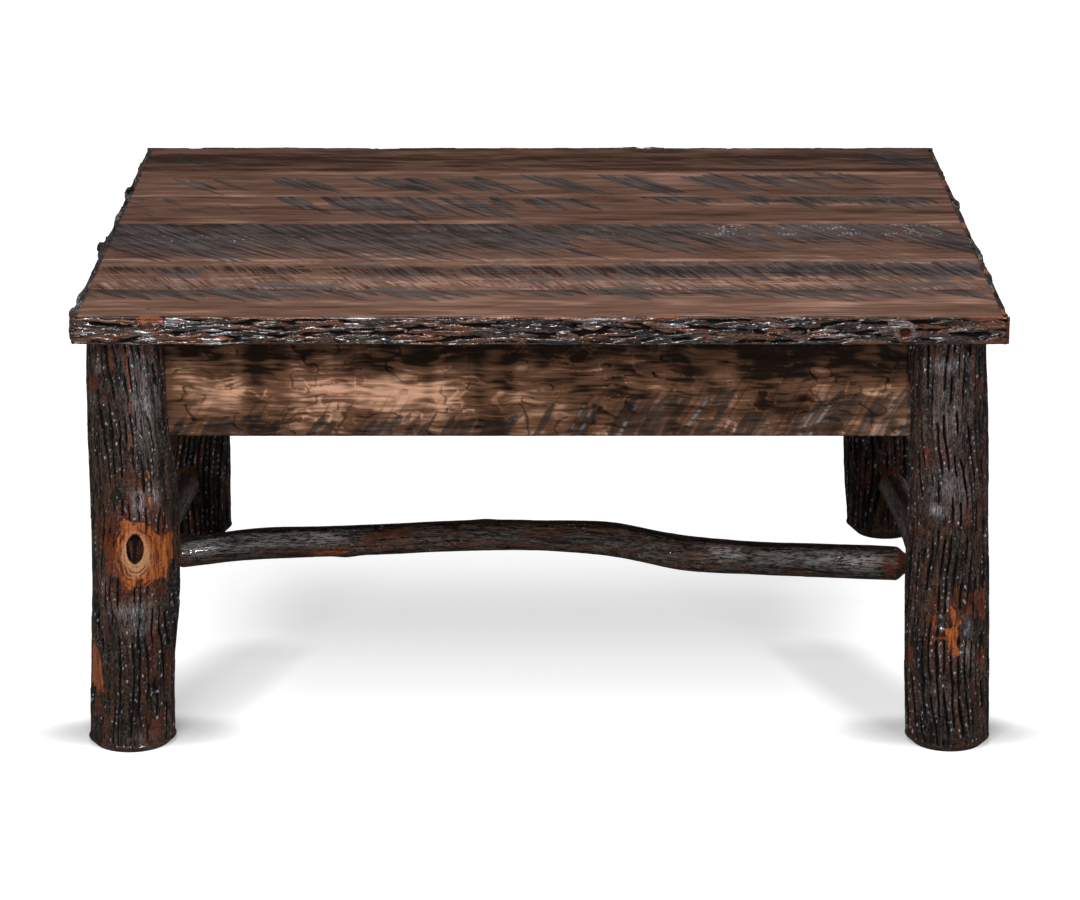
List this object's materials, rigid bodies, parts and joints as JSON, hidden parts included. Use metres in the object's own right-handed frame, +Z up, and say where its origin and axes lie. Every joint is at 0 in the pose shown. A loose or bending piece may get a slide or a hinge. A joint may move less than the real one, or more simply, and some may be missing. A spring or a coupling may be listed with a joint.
{
  "type": "table",
  "caption": "Low rustic table: barnwood plank top edged with bark, on log legs with bark left on, board aprons and bent sapling stretchers.",
  "frame": {"origin": "on the floor under the middle of the top", "axes": "+X along the top boards to the right, +Y to the back, +Z up"},
  "size_m": [0.918, 0.768, 0.4572],
  "materials": {
    "barnwood": "satin varnish over rough-sawn, weathered boards",
    "edge_bark": "flaky bark under clear gloss varnish",
    "leg_bark": "furrowed bark under clear gloss varnish",
    "sapling_bark": "thin smooth bark under clear gloss varnish",
    "apron_wood": "satin varnish over rough-sawn board",
    "frame_wood": "plain planed hardwood",
    "fastener_steel": "dull zinc"
  },
  "bodies": {
    "root": {"top_plank_1": "barnwood", "top_plank_2": "barnwood", "top_plank_3": "barnwood", "top_plank_4": "barnwood", "top_plank_5": "barnwood", "top_plank_6": "barnwood", "bark_edge_front": "edge_bark", "bark_edge_back": "edge_bark", "bark_edge_left": "edge_bark", "bark_edge_right": "edge_bark", "leg_front_left": "leg_bark", "leg_front_right": "leg_bark", "leg_back_left": "leg_bark", "leg_back_right": "leg_bark", "apron_front": "apron_wood", "apron_back": "apron_wood", "apron_left": "apron_wood", "apron_right": "apron_wood", "stretcher_left": "sapling_bark", "stretcher_right": "sapling_bark", "stretcher_centre": "sapling_bark", "centre_batten": "frame_wood", "cleat_left": "frame_wood", "cleat_right": "frame_wood", "corner_block_front_left": "frame_wood", "corner_block_front_right": "frame_wood", "corner_block_back_left": "frame_wood", "corner_block_back_right": "frame_wood", "batten_screws": "fastener_steel", "cleat_top_screws": "fastener_steel", "cleat_side_screws": "fastener_steel", "corner_block_screws": "fastener_steel", "top_screws": "fastener_steel", "leg_lag_screws": "fastener_steel", "edge_brads": "fastener_steel"}
  },
  "joints": []
}
